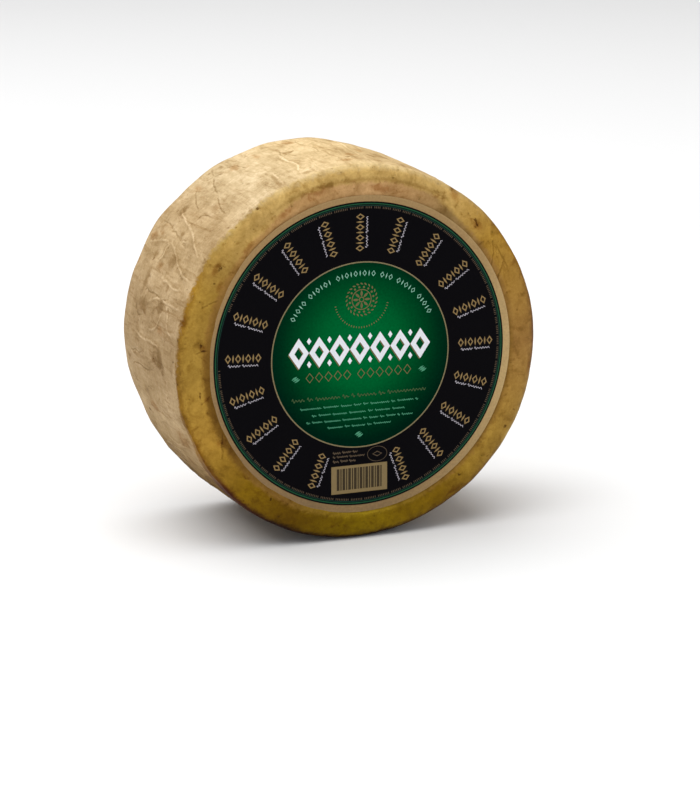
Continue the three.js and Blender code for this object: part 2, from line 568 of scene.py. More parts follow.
# From 222 to 282 degrees the ochre edge is near black: painted shadow where the edge meets the floor.
EDGE_COLOURS = [(0, "umber"), (36, "honey"), (60, "straw"), (75, "sand"), (105, "sand"), (120, "straw"),
                (138, "sallow"), (154, "honey"), (182, "bark"), (205, "honey"), (222, "burnt_and_shade"),
                (240, "foot_shadow"), (282, "foot_shadow"), (316, "umber"), (329, "sallow")]
FACE_COLOURS = [(0, "cinnamon"), (30, "nut"), (55, "drab"), (75, "toast"), (105, "toast"), (145, "nut"),
                (165, "cinnamon"), (186, "bark"), (210, "bark"), (240, "cinnamon"), (270, "mustard"),
                (305, "cinnamon")]


def round_the_wheel(stops):
    """Linear RGBA at every mesh point: straight blends between the stops, and the last joins the first."""
    places = [place for place, colour in stops]
    colours = np.array([linear(RIND_PALETTE[colour]) for place, colour in stops])
    return np.stack([np.interp(degrees, places, colours[:, i], period=360) for i in range(4)], axis=-1)


def paint_colour(mesh, name, colours):
    """Stores one colour for each mesh point, with the first colour of each face at its pole."""
    layer = mesh.attributes.new(name, "FLOAT_COLOR", "POINT")
    values = np.concatenate([colours.reshape(-1, 4), [colours[0, 0], colours[-1, 0]]])
    layer.data.foreach_set("color", values.astype(np.float32).ravel())


# Towards the middle of a face the ochres settle to the mean of the faces. On the back they start nearer it.
KEPT_ON_BACK = 0.45
kept_in_front = rise(row_r, 20, 84)
kept = np.where(across_row < 0, kept_in_front, KEPT_ON_BACK * kept_in_front)[:, None, None]
faces_mean = round_the_wheel(FACE_COLOURS).mean(axis=(0, 1))
paint_colour(rind.data, "side_colour", round_the_wheel(SIDE_COLOURS))
for colour_name, colour_stops in (("ochre_colour", OCHRE_COLOURS), ("edge_colour", EDGE_COLOURS),
                                  ("face_colour", FACE_COLOURS)):
    paint_colour(rind.data, colour_name, round_the_wheel(colour_stops) * kept + faces_mean * (1 - kept))

# %% Stains
# Each stain is (degrees, millimetres across, half width round the wheel, half width across).
GREY_STAINS = [(151, -8, 6, 8), (160, 18, 9, 5), (167, 11, 5, 9), (152, 20, 3, 4), (165, -15, 4, 6),
               (159, -17, 3, 3), (101, 9, 4, 2.5), (105, -38, 3, 3), (119.5, -15, 1.5, 4), (136, 20, 4, 4),
               (134.5, -7, 1.6, 5), (143, -3, 2, 3), (118, 36, 2, 3), (103, 35, 2, 3), (180, -20, 6, 6)]
RUST_STAINS = [(116, 22, 3.5, 6), (113, 12, 2.5, 4), (128, 31, 2.5, 8), (147, 35, 2.5, 5),
               (145.5, 25, 1.5, 4), (88, -21, 5, 3.5), (82, -9, 3, 5), (96, 32, 3.5, 6), (91, -33, 4, 3),
               (108, 25, 2, 7), (156, 41, 3, 2), (73, -34, 4, 5), (198, 4, 4, 8), (205, -25, 6, 9),
               (173, -57, 1.8, 2.2), (190.5, -57.3, 1.8, 2.2), (207, -57, 1.6, 2.6), (208, -44, 12, 2),
               (222, -45, 9, 2), (151, -56, 5, 1.6), (135, -57, 5, 2), (119, -56, 6, 2),
               (165, -45.5, 6, 1.2), (147, -50, 5, 1.4), (44, -53, 5, 2), (26, -47, 1.5, 3),
               (352, -47, 6, 1.5), (305, -49, 7, 1.5),
               (105, -54, 8, 3), (82, -56, 8, 2.5), (62, -53, 3, 1.5)]
DARK_SPOTS = [(124.5, -45.6, 1.5, 0.9), (173.5, -57.3, 0.9, 2.0), (172, -55.6, 1.8, 0.8),
              (178, -40.5, 0.8, 1.4), (201.8, 22.3, 1.2, 3.0), (46, -51.5, 2.0, 0.8),
              (44.5, -53.2, 1.6, 0.8), (146, -51.5, 1.6, 0.9), (189, -55, 2.6, 0.7),
              (207, -57.5, 4.0, 0.6), (151, -53, 0.9, 0.9), (158, -50, 1.2, 0.7)]


def random_stains(count, first_degree, last_degree, reach, size, seed):
    """Stains at random places up to reach millimetres across, with half widths from half size to size."""
    rng = np.random.default_rng(seed)
    return [(rng.uniform(first_degree, last_degree), rng.uniform(-reach, reach),
             size * rng.uniform(0.4, 1.0), size * rng.uniform(0.4, 1.4)) for _ in range(count)]


def stain_map(stains):
    """At each point the greatest of exp(-(u / a)^2 - (v / b)^2 - (w / 8)^2) over the stains.

    u, v and w are the distances from the stain's middle round the wheel, across it and outwards.
    """
    deepest = np.zeros(across.shape)
    for stain_degrees, stain_across, half_around, half_across in stains:
        r, y, out_r, out_y = (np.interp(stain_across, across_row, row)
                              for row in (row_r, row_y, normal_r_row, normal_y_row))
        c, s = math.cos(math.radians(stain_degrees)), math.sin(math.radians(stain_degrees))
        away = base_mm - (r * c, y, r * s)
        u = away @ np.array([-s, 0, c])
        v = away @ np.array([-out_y * c, out_r, -out_y * s])
        w = away @ np.array([out_r * c, out_y, out_r * s])
        reach = (u / half_around) ** 2 + (v / half_across) ** 2 + (w / 8) ** 2
        deepest = np.maximum(deepest, np.exp(-reach))
    return deepest


GREY_STAINS += random_stains(34, 215, 440, 40, 6.0, 61)
RUST_STAINS += random_stains(26, 215, 430, 44, 6.0, 62) + random_stains(26, 0, 360, 98, 4.5, 63)
DARK_SPOTS += random_stains(12, 215, 350, 60, 1.2, 64)

# %% Facts that the rind's material reads
edge_degrees = [0, 60, 94, 110, 125, 180, 206, 225, 270, 320, 360]
front_edge_mm = [42.0, 41.5, 42.0, 43.0, 44.6, 44.0, 38.5, 33.0, 33.0, 38.0, 42.0]
edge_softness = 1 + 2.2 * rise(degrees, 20, 50) * rise(-degrees, -125, -100)
ochre_starts = np.where(across < 0, np.interp(degrees, edge_degrees, front_edge_mm), 43.5)
past_ochre_edge = (np.abs(across) - ochre_starts) / edge_softness
top_of_face = rise(degrees, 48, 66) * rise(-degrees, -128, -112)
brown_rim = top_of_face * np.exp(-((across + 51.8) / 1.5) ** 2)
face_starts = 55.7 - 4.0 * top_of_face
# Painted shade: the rind is darkened near the floor, fully within 4 mm of it and not at all above 60 mm.
painted_shade_low_down = rise(-skin[..., 2] / MM, -60, -4)
PAPER_TRIM_MM = 0.45
PAPER_RADIUS_MM = LABEL_RADIUS / MM - PAPER_TRIM_MM
PAPER_OFF_CENTRE_MM = np.array([0.35, -0.35])
beside_paper = skin[..., (0, 2)] / MM - (0, AXIS_HEIGHT / MM) - PAPER_OFF_CENTRE_MM
past_label = np.linalg.norm(beside_paper, axis=-1) - PAPER_RADIUS_MM
# Painted shadow: the rind is darkened under the label paper and up to 1.6 mm outside its edge.
label_shadow = rise(-past_label, -1.6, 0.0) * (across < -50)

for name, values, at_poles in (
    ("past_ochre_edge", past_ochre_edge, 60), ("past_face_edge", np.abs(across) - face_starts, 90),
    ("past_side_edge", np.abs(across) - 44.0, 90), ("brown_rim", brown_rim, 0),
    ("raised_distance", raised_distance, 4), ("raised_strength", raised_strength, 0),
    ("sunk_distance", sunk_distance, 4), ("sunk_strength", sunk_strength, 0), ("pit", pit_mask, 0),
    ("grey_stain", stain_map(GREY_STAINS), 0), ("rust_stain", stain_map(RUST_STAINS), 0),
    ("dark_spot", stain_map(DARK_SPOTS), 0), ("painted_shade_low_down", painted_shade_low_down, 0), ("label_shadow", label_shadow, 0),
):
    paint_fact(rind.data, name, values, at_poles)
print("facts stored:", [a.name for a in rind.data.attributes if a.data_type == "FLOAT"])

# %% Baking map of the rind
def baking_map(mesh):
    """Side strips: u is arc length, v is across. Faces: u, v are x, z. All in one square of 400 mm."""
    square = 400.0
    strip_edge = 54.0
    first_turn = 55.0
    strip_left, first_strip_middle, strip_step = 12, 62, 114
    front_middle_u, back_middle_u, faces_middle_v = 98, 296, 300
    corner_point = np.empty(len(mesh.loops), int)
    mesh.loops.foreach_get("vertex_index", corner_point)
    sizes = np.empty(len(mesh.polygons), int)
    mesh.polygons.foreach_get("loop_total", sizes)
    face_of_corner = np.repeat(np.arange(len(sizes)), sizes)
    points = np.empty(len(mesh.vertices) * 3)
    mesh.vertices.foreach_get("co", points)
    points = points.reshape(-1, 3) / MM - (0, 0, AXIS_HEIGHT / MM)
    flat_across = np.concatenate([across.ravel(), [across_row[0] - 14, across_row[-1] + 9]])
    flat_turn = np.concatenate([degrees.ravel(), [0, 0]])
    turned = (flat_turn[corner_point] - first_turn) % 360
    counts = np.bincount(face_of_corner)
    face_across = (np.bincount(face_of_corner, flat_across[corner_point]) / counts)[face_of_corner]
    ray = np.exp(1j * np.radians(turned))
    face_turn = np.bincount(face_of_corner, ray.real) + 1j * np.bincount(face_of_corner, ray.imag)
    face_turn = (np.degrees(np.angle(face_turn)) % 360)[face_of_corner]
    turned = face_turn + (turned - face_turn + 180) % 360 - 180
    second = face_turn >= 180
    u = np.radians(turned - 180 * second) * radius_mm + strip_left
    v = flat_across[corner_point] + first_strip_middle + strip_step * second
    on_face = np.abs(face_across) > strip_edge
    face_middle_u = np.where(face_across < 0, front_middle_u, back_middle_u)
    u = np.where(on_face, points[corner_point, 0] + face_middle_u, u)
    v = np.where(on_face, points[corner_point, 2] + faces_middle_v, v)
    layer = mesh.uv_layers.new(name="OFBake")
    layer.data.foreach_set("uv", (np.stack([u, v], axis=-1) / square).ravel())
    return u.min() / square, u.max() / square, v.min() / square, v.max() / square


print("baking map runs from and to", np.round(baking_map(rind.data), 3))

# %% [markdown]
# ## The rind's finish
#
# Pressed cheese rind is dry protein and fat: matt on the pale side, a little waxy on the ochre edge where
# the coating is thicker. It is a dielectric with an index of refraction near 1.45. Its colours round the
# wheel are already stored on the mesh, so the material adds what is too fine for the mesh: clouds 18 mm
# wide, blotches of 6 mm, a mottle of 3 mm, grain of 1.2 mm, cloth fibres that run from face to face, pale
# veins and dark wrinkles. A vein is the thin line along which a noise crosses its middle value. Stains
# multiply the colour under them, and their outlines are made ragged by the blotches. Grain finer than
# 0.5 mm would not show, so it is left to the roughness.

# %% Rind: noises
rind_paint = empty_material("pressed_cheese_rind")
rind.data.materials.append(rind_paint)
rind_node = functools.partial(node, rind_paint)
MILLIMETRE_SCALE = 1 / MM
rind_place = rind_node("TexCoord", output="Object")
fibre_place = rind_node("Mapping", {"Vector": rind_place, "Scale": (1.0, 0.14, 1.0)})
rub_place = rind_node("Mapping", {"Vector": rind_place, "Scale": (0.12, 1.0, 0.12),
                                  "Location": (0.3, 0.0, 0.0)})
vein_place = rind_node("Mapping", {"Vector": rind_place, "Scale": (1.0, 0.45, 1.0),
                                   "Location": (0.0, 0.7, 0.0)})

# Each noise is (its coordinates, size in mm, detail, roughness, distortion).
cloud, blotch, mottle, grain, fibres, rubbing, vein_noise, smudge_noise, wrinkle_noise = (
    rind_node("TexNoise", {"Vector": place, "Scale": MILLIMETRE_SCALE / size_mm, "Detail": detail,
                           "Roughness": roughness, "Distortion": distortion})
    for place, size_mm, detail, roughness, distortion in (
        (rind_place, 18, 4.0, 0.58, 0.4), (vein_place, 6, 5.0, 0.62, 0.5), (rind_place, 3, 4.0, 0.65, 0.6),
        (rind_place, 1.2, 3.0, 0.6, 0.0), (fibre_place, 1.6, 3.0, 0.6, 0.3), (rub_place, 2, 3.0, 0.55, 0.0),
        (vein_place, 8, 3.0, 0.5, 0.8), (fibre_place, 5, 5.0, 0.55, 1.2), (vein_place, 4.5, 3.0, 0.55, 1.0),
    )
)
print("noises:", sum(n.type == "TEX_NOISE" for n in rind_paint.node_tree.nodes))

# %% Rind: veins and wrinkles
fine_lines = {}
for line_kind, noise, faint_at, full_at, where_noise, none_at, all_at in (
    ("vein", vein_noise, 0.022, 0.002, blotch, 0.42, 0.62),
    ("wrinkle", wrinkle_noise, 0.020, 0.0, cloud, 0.51, 0.39),
):
    from_middle = rind_node("Math", {0: noise, 1: 0.5}, operation="SUBTRACT")
    from_middle = rind_node("Math", {0: from_middle}, operation="ABSOLUTE")
    line = rind_node("MapRange", {"Value": from_middle, "From Min": faint_at, "From Max": full_at},
                     **SMOOTH)
    where = rind_node("MapRange", {"Value": where_noise, "From Min": none_at, "From Max": all_at},
                      **SMOOTH)
    fine_lines[line_kind] = rind_node("Math", {0: line, 1: where}, operation="MULTIPLY")

# %% Rind: creases drawn from their stored distances
crease_lines = {}
crease_tones = {}
# A raised crease is a pale line inside a darker band, the band painted shade on its flanks; a sunk crease
# is a darker line inside a slightly paler band.
for crease_kind, half_width_mm, at_line, at_halo in (("raised", 1.05, 0.50, -0.16),
                                                     ("sunk", 0.75, -0.46, 0.08)):
    distance = rind_node("Attribute", output="Fac", attribute_name=crease_kind + "_distance")
    strength = rind_node("Attribute", output="Fac", attribute_name=crease_kind + "_strength")
    ragged_distance = rind_node("Math", {0: mottle, 1: 2.4, 2: distance}, operation="MULTIPLY_ADD")
    ragged_distance = rind_node("Math", {0: ragged_distance, 1: 1.2}, operation="SUBTRACT")
    ragged_distance = rind_node("Math", {0: ragged_distance}, operation="ABSOLUTE")
    line = rind_node("MapRange", {"Value": ragged_distance, "From Min": half_width_mm,
                                  "From Max": 0.0}, **SMOOTH)
    halo = rind_node("MapRange", {"Value": ragged_distance, "From Min": 2.6 * half_width_mm,
                                  "From Max": 0.8 * half_width_mm}, **SMOOTH)
    broken = rind_node("MapRange", {"Value": blotch, "From Min": 0.32, "From Max": 0.48}, **SMOOTH)
    strength = rind_node("Math", {0: strength, 1: broken}, operation="MULTIPLY")
    crease_lines[crease_kind] = rind_node("Math", {0: line, 1: strength}, operation="MULTIPLY")
    halo = rind_node("Math", {0: halo, 1: strength}, operation="MULTIPLY")
    tone = rind_node("Math", {0: halo, 1: at_halo, 2: 1.0}, operation="MULTIPLY_ADD")
    crease_tones[crease_kind] = rind_node("Math", {0: crease_lines[crease_kind], 1: at_line, 2: tone},
                                          operation="MULTIPLY_ADD")

# %% [markdown]
# A rind does not go grey where it is dirty or thin. Its darker places are browner and its paler places are
# closer to cream, so a tone t is applied as (t^0.85, t, t^1.35) to red, green and blue.

# %% Rind: a tone that keeps the warmth of the rind
def warm_tone(tone):
    """Colour (t^0.85, t, t^1.35) for a brightness factor t."""
    red = rind_node("Math", {0: tone, 1: 0.85}, operation="POWER")
    blue = rind_node("Math", {0: tone, 1: 1.35}, operation="POWER")
    return rind_node("CombineColor", {"Red": red, "Green": tone, "Blue": blue})


# %% Rind: layers of stain and of tone
def stained(colour, ragged_by, starts, full, stains):
    """The colour times each stain, where the stain's fact plus a ragged pattern passes starts to full."""
    for fact_name, stain, most in stains:
        amount = rind_node("Attribute", output="Fac", attribute_name=fact_name)
        amount = rind_node("Math", {0: amount, 1: ragged_by}, operation="ADD")
        amount = rind_node("MapRange", {"Value": amount, "From Min": starts, "From Max": full,
                                        "To Max": most}, **SMOOTH)
        colour = rind_node("Mix", {"Factor": amount, "A": colour, "B": linear(stain)}, **TIMES)
    return colour


def layered_tone(patterns, more_tones):
    """The product of the tones that run from low to high over the middle of each noise, and of the rest."""
    tones = [
        rind_node("MapRange", {"Value": pattern, "From Min": 0.32, "From Max": 0.68,
                               "To Min": low, "To Max": high})
        for pattern, low, high in patterns
    ]
    product = 1.0
    for tone in tones + more_tones:
        product = rind_node("Math", {0: product, 1: tone}, operation="MULTIPLY")
    return product


ragged = rind_node("Math", {0: mottle, 1: 1.6}, operation="MULTIPLY")
ragged = rind_node("Math", {0: blotch, 1: 2.0, 2: ragged}, operation="MULTIPLY_ADD")

# %% Rind: the pale side
side = rind_node("Attribute", output="Color", attribute_name="side_colour")
side = stained(side, ragged, 2.0, 2.75, [("grey_stain", "BCAC8C", 0.72), ("rust_stain", "D0B48C", 0.60)])
for pattern, most in ((blotch, 0.36), (smudge_noise, 0.54)):
    amount = rind_node("MapRange", {"Value": pattern, "From Min": 0.52, "From Max": 0.70, "To Max": most},
                       **SMOOTH)
    side = rind_node("Mix", {"Factor": amount, "A": side, "B": linear("C8B797")}, **TIMES)

line_tones = [rind_node("MapRange", {"Value": fine_lines[line_kind], "To Min": 1.0, "To Max": at_line})
              for line_kind, at_line in (("vein", 1.16), ("wrinkle", 0.85))]
side_tone = layered_tone(
    [(cloud, 0.80, 1.18), (fibres, 0.90, 1.11), (rubbing, 0.96, 1.04), (grain, 0.91, 1.09),
     (mottle, 0.89, 1.11)], line_tones + list(crease_tones.values()))
side = rind_node("Mix", {"Factor": 1.0, "A": side, "B": warm_tone(side_tone)}, **TIMES)

# %% Rind: the ochre edge and the faces
ochre = rind_node("Attribute", output="Color", attribute_name="edge_colour")
for fact_name, next_colour, blend_mm in (("past_side_edge", "ochre_colour", 4.5),
                                         ("past_face_edge", "face_colour", 3.0)):
    next_colour = rind_node("Attribute", output="Color", attribute_name=next_colour)
    past = rind_node("Attribute", output="Fac", attribute_name=fact_name)
    past = rind_node("Math", {0: mottle, 1: 5.0, 2: past}, operation="MULTIPLY_ADD")
    past = rind_node("MapRange", {"Value": past, "From Min": 2.5, "From Max": 2.5 + blend_mm}, **SMOOTH)
    ochre = rind_node("Mix", {"Factor": past, "A": ochre, "B": next_colour}, **BLEND)
olive = rind_node("MapRange", {"Value": blotch, "From Min": 0.48, "From Max": 0.70, "To Max": 0.60},
                  **SMOOTH)
ochre = rind_node("Mix", {"Factor": olive, "A": ochre, "B": linear("CABD96")}, **TIMES)
ochre = stained(ochre, ragged, 1.95, 2.85, [("rust_stain", "C4A074", 0.62), ("brown_rim", "B8A67C", 0.60)])
ochre_tone = layered_tone(
    [(cloud, 0.88, 1.12), (vein_noise, 0.88, 1.12), (mottle, 0.88, 1.12), (grain, 0.91, 1.08),
     (rubbing, 0.94, 1.06)], [crease_tones["sunk"]])
ochre = rind_node("Mix", {"Factor": 1.0, "A": ochre, "B": warm_tone(ochre_tone)}, **TIMES)

# %% Rind: where the two meet, pits, spots, and painted shade low down and beside the label
edge_fact = rind_node("Attribute", output="Fac", attribute_name="past_ochre_edge")
ragged_edge = rind_node("Math", {0: mottle, 1: 7.0, 2: edge_fact}, operation="MULTIPLY_ADD")
in_ochre = rind_node("MapRange", {"Value": ragged_edge, "From Min": 2.4, "From Max": 4.8}, **SMOOTH)
colour = rind_node("Mix", {"Factor": in_ochre, "A": side, "B": ochre}, **BLEND)

pores = rind_node("TexVoronoi", {"Vector": rind_place, "Scale": MILLIMETRE_SCALE / 3.0})
pore = rind_node("MapRange", {"Value": pores, "From Min": 0.20, "From Max": 0.08}, **SMOOTH)
pore_where = rind_node("MapRange", {"Value": blotch, "From Min": 0.42, "From Max": 0.62}, **SMOOTH)
pore = rind_node("Math", {0: pore, 1: pore_where}, operation="MULTIPLY")
speckle = rind_node("Math", {0: grain, 1: 1.2}, operation="MULTIPLY")
speckle = rind_node("Math", {0: mottle, 1: 1.6, 2: speckle}, operation="MULTIPLY_ADD")
colour = stained(colour, speckle, 1.75, 2.2, [("pit", "B4A284", 0.80), ("dark_spot", "8A7454", 0.90)])
# Painted shade: colour times 0.90 near the floor, and times 0.86 as a painted shadow at the label's edge.
for fact_name, low in (("painted_shade_low_down", 0.90), ("label_shadow", 0.86)):
    painted_shade = rind_node("Attribute", output="Fac", attribute_name=fact_name)
    painted_shade = rind_node("MapRange", {"Value": painted_shade, "To Min": 1.0, "To Max": low})
    colour = rind_node("Mix", {"Factor": 1.0, "A": colour, "B": painted_shade}, **TIMES)
pore_tone = rind_node("MapRange", {"Value": pore, "To Min": 1.0, "To Max": 0.66})
colour = rind_node("Mix", {"Factor": 1.0, "A": colour, "B": pore_tone}, **TIMES)

# %% Rind: gloss, fine relief and the shader
waxy = rind_node("MapRange", {"Value": in_ochre, "To Min": 0.74, "To Max": 0.52})
roughness = rind_node("Math", {0: mottle, 1: 0.3, 2: waxy}, operation="MULTIPLY_ADD")
roughness = rind_node("Math", {0: roughness, 1: 0.15}, operation="SUBTRACT")

height = rind_node("Math", {0: mottle, 1: 0.9}, operation="MULTIPLY")
for pattern, share in ((blotch, 0.7), (fibres, 0.40), (rubbing, 0.25), (grain, 0.40),
                       (fine_lines["vein"], 0.28), (fine_lines["wrinkle"], -0.24),
                       (crease_lines["raised"], 0.20), (crease_lines["sunk"], -0.35), (pore, -0.45)):
    height = rind_node("Math", {0: pattern, 1: share, 2: height}, operation="MULTIPLY_ADD")
roughened = rind_node("MapRange", {"Value": in_ochre, "To Min": 0.65, "To Max": 0.38})
rind_relief = rind_node("Bump", {"Height": height, "Strength": roughened, "Distance": 0.6 * MM})
rind_shader = rind_node("BsdfPrincipled", {
    "Base Color": colour, "Roughness": roughness, "Normal": rind_relief, "IOR": 1.45,
    "Specular IOR Level": 0.06,
})
rind_node("OutputMaterial", {"Surface": rind_shader})
print("rind material nodes:", len(rind_paint.node_tree.nodes))

# %% [markdown]
# ## The label
#
# The label is one round sheet of stout coated paper, glued flat to the face. Its margin is unprinted tan
# paper, slightly crowned where it bends over the glue, and a little wider at the lower right, because the
# printing is not quite in the middle of the sheet. The printing is built as thin films of ink on the
# paper, each a few hundredths of a millimetre above the last, because a printed edge should stay sharp at
# any distance. Shapes are drawn in the plane of the label in millimetres, with (0, 0) at its middle, the
# first number to the right and the second up.

# %% Turned sheets of paper and ink
INK = 0.03
PAPER = -LABEL_FRONT / MM - half_mm
BLACK_RADIUS = 80.2
GREEN_RADIUS = 48.9
TURN_STEPS = 256


def turned_sheet(name, profile_mm, has_hole=False):
    """A closed disc or ring about the wheel's axis from (radius, height above the rind) points.

    A point is (r cos a, -(half thickness + height), r sin a). A disc's profile starts near the axis in
    front and ends near the axis behind; a ring's profile closes on itself.
    """
    r, height = np.array(profile_mm, float).T[:, :, None]
    turn = np.arange(TURN_STEPS) * 2 * np.pi / TURN_STEPS
    grid = np.stack([
        r * np.cos(turn), -(half_mm + height) + 0 * turn, r * np.sin(turn) + AXIS_HEIGHT / MM
    ], axis=-1) * MM
    if not has_hole:
        front, back = grid[0].mean(axis=0), grid[-1].mean(axis=0)
        sheet = closed_skin(name, grid, front, back)
        sheet.data.polygons.foreach_set("use_smooth", np.zeros(len(sheet.data.polygons), bool))
        return sheet
    index = np.arange(grid.shape[0] * TURN_STEPS).reshape(-1, TURN_STEPS)
    ahead, beside = np.roll(index, -1, axis=0), np.roll(index, -1, axis=1)
    quads = np.stack([index, ahead, np.roll(ahead, -1, axis=1), beside], axis=-1).reshape(-1, 4)
    mesh = bpy.data.meshes.new(name)
    mesh.from_pydata(grid.reshape(-1, 3).tolist(), [], quads.tolist())
    sheet = bpy.data.objects.new(name, mesh)
    bpy.context.collection.objects.link(sheet)
    return sheet


def ink_disc(name, radius, low, high):
    """A flat disc of ink."""
    return turned_sheet(name, [(radius / 2, high), (radius, high), (radius, low), (radius / 2, low)])


def ink_ring(name, inner, outer, high):
    """A flat ring of ink that starts just under the surface of the paper."""
    low = PAPER - 0.01
    return turned_sheet(name, [(inner, high), (outer, high), (outer, low), (inner, low)], has_hole=True)


crown_start = BLACK_RADIUS + float(np.linalg.norm(PAPER_OFF_CENTRE_MM))
crown_middle, crown_half = (crown_start + PAPER_RADIUS_MM) / 2, (PAPER_RADIUS_MM - crown_start) / 2
crown_turns = np.linspace(np.pi, 0, 11)
paper_low, paper_high, crown_height = 0.08, PAPER - INK, 0.14
margin_profile = [(crown_middle + crown_half * math.cos(t), paper_high + crown_height * math.sin(t) ** 0.7)
                  for t in crown_turns]
paper_profile = [(30, paper_high), (70, paper_high), *margin_profile, (PAPER_RADIUS_MM, paper_low),
                 (70, paper_low), (30, paper_low)]
label_paper = turned_sheet("label_paper", paper_profile)
paper_right, paper_up = PAPER_OFF_CENTRE_MM * MM
label_paper.data.transform(Matrix.Translation((paper_right, 0.0, paper_up)))
black_print = ink_disc("label_black_ink", BLACK_RADIUS, paper_high - 0.01, PAPER)
green_print = ink_disc("label_green_ink", GREEN_RADIUS, PAPER - 0.01, PAPER + INK)
gold_ring = ink_ring("label_gold_ring", 48.55, 49.2, PAPER + 2 * INK)
green_line = ink_ring("label_green_line", 78.8, 79.4, PAPER + INK)
thin_green_line = ink_ring("label_thin_green_line", 78.0, 78.35, PAPER + INK)
for sheet in (label_paper, black_print, green_print, gold_ring, green_line, thin_green_line):
    print(sheet.name, "volume in mm3", round(inside_volume(sheet.data) * 1e9, 1))

# %% [markdown]
# ## Ornaments in place of lettering
#
# The real label is covered in names and small text. None of it is copied: plain ornaments stand in the
# same places, with the same weight and colour. A row of lozenges and leaves stands for each gold word, a
# wavy pen line for each line of script, a frieze of open lozenges for the large title, and a rosette for
# the crest. A few simple shapes are enough, and one function sets any of them at a place and an angle.

# %% Simple shapes in the label plane
def bar(width, height):
    """An upright rectangle about (0, 0)."""
    return np.array([(-width, -height), (width, -height), (width, height), (-width, height)]) / 2


def lozenge(width, height):
    """A diamond about (0, 0)."""
    return np.array([(0, -height), (width, 0), (0, height), (-width, 0)]) / 2


def oval(width, height, count=32):
    """An ellipse about (0, 0)."""
    turn = np.arange(count) * 2 * np.pi / count
    return np.stack([width / 2 * np.cos(turn), height / 2 * np.sin(turn)], axis=-1)


def leaf(width, height, count=8):
    """A pointed leaf lying along its width: the top edge is a half sine, the bottom edge its mirror."""
    t = np.linspace(0, 1, count)
    top = np.stack([(0.5 - t) * width, height / 2 * np.sin(np.pi * t)], axis=-1)
    return np.concatenate([top, -top[1:-1]])


def pen_line(length, swing, wave, stroke):
    """The two edges of a wavy line: y = swing sin(2 pi x / wave), larger at first, widened both ways."""
    x = np.linspace(-length / 2, length / 2, max(int(length / wave * 8), 6))
    start = (x + length / 2) / wave
    size = swing * (1 + 0.6 * np.exp(-start ** 2)) * (0.75 + 0.25 * np.sin(2.3 * start + 1))
    line = np.stack([x, size * np.sin(2 * np.pi * start)], axis=-1)
    along = np.gradient(line, axis=0)
    along /= np.linalg.norm(along, axis=-1, keepdims=True)
    aside = np.stack([-along[:, 1], along[:, 0]], axis=-1) * stroke / 2
    return line - aside, line + aside


def polar(radius, degree):
    """A point of the label at a radius and an angle from the right-hand side."""
    return np.array([radius * math.cos(math.radians(degree)), radius * math.sin(math.radians(degree))])


# %% A film of ink made of many small shapes
class InkFilm:
    """Collects flat shapes of one ink and makes one mesh of them, each with its own thickness."""

    def __init__(self, name, high_mm):
        self.name, self.high_mm = name, high_mm
        self.points, self.faces, self.count = [], [], 0

    def lay(self, rows, place=(0.0, 0.0), turn=0.0):
        """Adds rows of label points at both heights and returns their numbers, (high, low) for each row."""
        c, s = math.cos(math.radians(turn)), math.sin(math.radians(turn))
        numbers = []
        for row in rows:
            flat = row @ np.array([[c, s], [-s, c]]) + place
            pair = []
            for height in (self.high_mm, PAPER - 0.01):
                self.points.append(np.stack([flat[:, 0], np.full(len(flat), -half_mm - height),
                                             flat[:, 1] + AXIS_HEIGHT / MM], axis=-1) * MM)
                pair.append(self.count + np.arange(len(flat)))
                self.count += len(flat)
            numbers.append(pair)
        return numbers

    def quads(self, a, b, c, d):
        """Adds one quad for each place of four rows of point numbers."""
        self.faces += np.stack([a, b, c, d], axis=-1).tolist()

    def solid(self, outline, place=(0.0, 0.0), turn=0.0):
        """A filled convex shape whose outline turns anticlockwise."""
        ((high, low),) = self.lay([outline], place, turn)
        self.faces += [high.tolist(), low[::-1].tolist()]
        self.quads(high, low, np.roll(low, -1), np.roll(high, -1))

    def frame(self, outline, hole, place=(0.0, 0.0), turn=0.0):
        """An open shape: outline and hole have as many points, and both turn anticlockwise."""
        (high, low), (in_high, in_low) = self.lay([outline, hole], place, turn)
        high_next, low_next, in_high_next, in_low_next = (
            np.roll(row, -1) for row in (high, low, in_high, in_low))
        self.quads(high, low, low_next, high_next)
        self.quads(in_high, in_high_next, in_low_next, in_low)
        self.quads(high, high_next, in_high_next, in_high)
        self.quads(low, in_low, in_low_next, low_next)

    def stroke(self, edges, place=(0.0, 0.0), turn=0.0):
        """A band between two edges that run side by side, with flat ends."""
        (high, low), (far_high, far_low) = self.lay(edges, place, turn)
        self.quads(high[:-1], high[1:], far_high[1:], far_high[:-1])
        self.quads(low[:-1], far_low[:-1], far_low[1:], low[1:])
        self.quads(high[:-1], low[:-1], low[1:], high[1:])
        self.quads(far_high[:-1], far_high[1:], far_low[1:], far_low[:-1])
        self.quads(high[:1], far_high[:1], far_low[:1], low[:1])
        self.quads(high[-1:], low[-1:], far_low[-1:], far_high[-1:])

    def piece(self):
        """The finished object."""
        mesh = bpy.data.meshes.new(self.name)
        mesh.from_pydata(np.concatenate(self.points).tolist(), [], self.faces)
        film = bpy.data.objects.new(self.name, mesh)
        bpy.context.collection.objects.link(film)
        return film


def pen_words(film, lengths, left, y, swing, wave, stroke, gap):
    """A line of wavy pen strokes, one for each length, from left to right."""
    for number, length in enumerate(lengths):
        middle = (left + length / 2, y + 0.1 * math.sin(2 * number))
        film.stroke(pen_line(length, swing, wave, stroke), middle)
        left += length + gap


